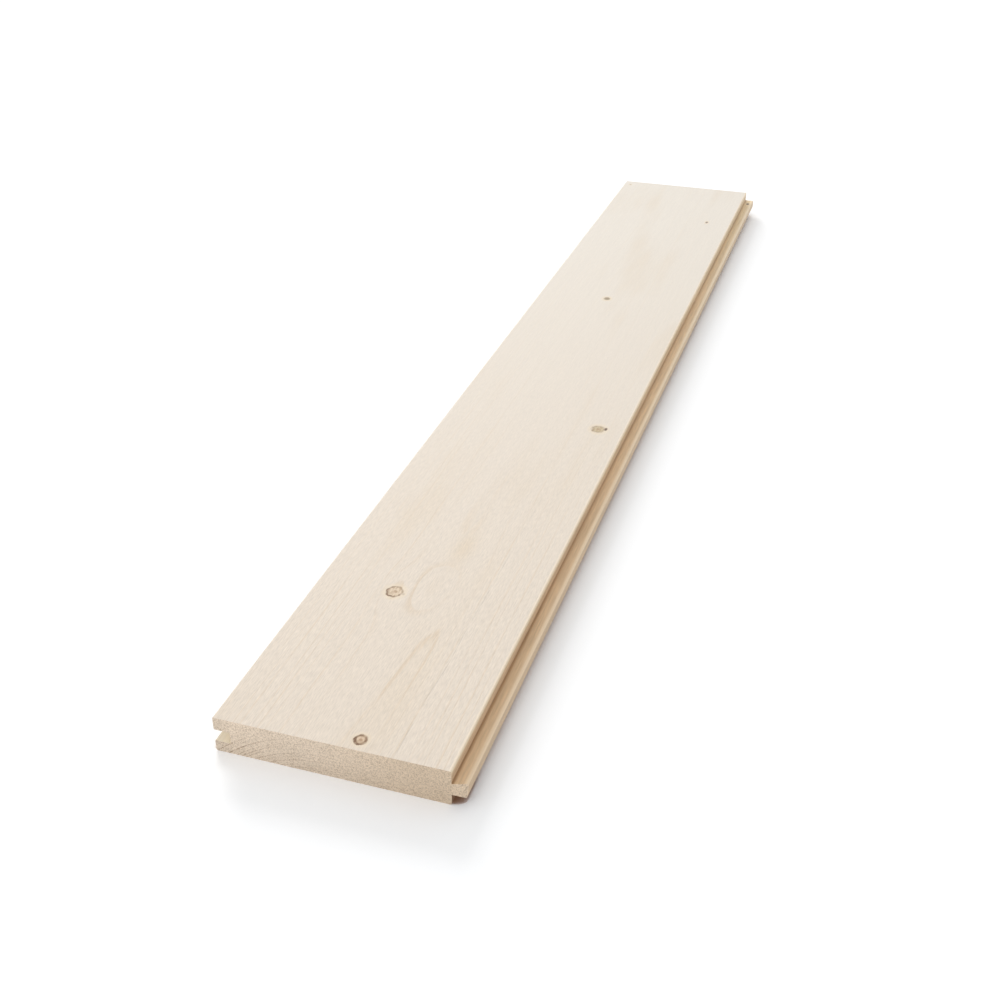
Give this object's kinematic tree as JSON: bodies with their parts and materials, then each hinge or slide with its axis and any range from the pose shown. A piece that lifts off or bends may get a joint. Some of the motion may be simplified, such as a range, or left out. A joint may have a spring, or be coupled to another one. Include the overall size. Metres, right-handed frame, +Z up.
{
  "type": "cladding board",
  "caption": "Flat softwood cladding board with a fine-sawn face, a groove along one long edge and a tongue along the other, cut square at both ends.",
  "frame": {"origin": "on the floor, under the middle of the board as it lies on its back", "axes": "+X across the board towards the tongue, +Y along the grain, +Z up, out of the face"},
  "size_m": [0.145, 0.974, 0.023],
  "materials": {
    "spruce": "untreated, fine-sawn face, planed edges"
  },
  "bodies": {
    "root": {"cladding_board": "spruce"}
  },
  "joints": []
}
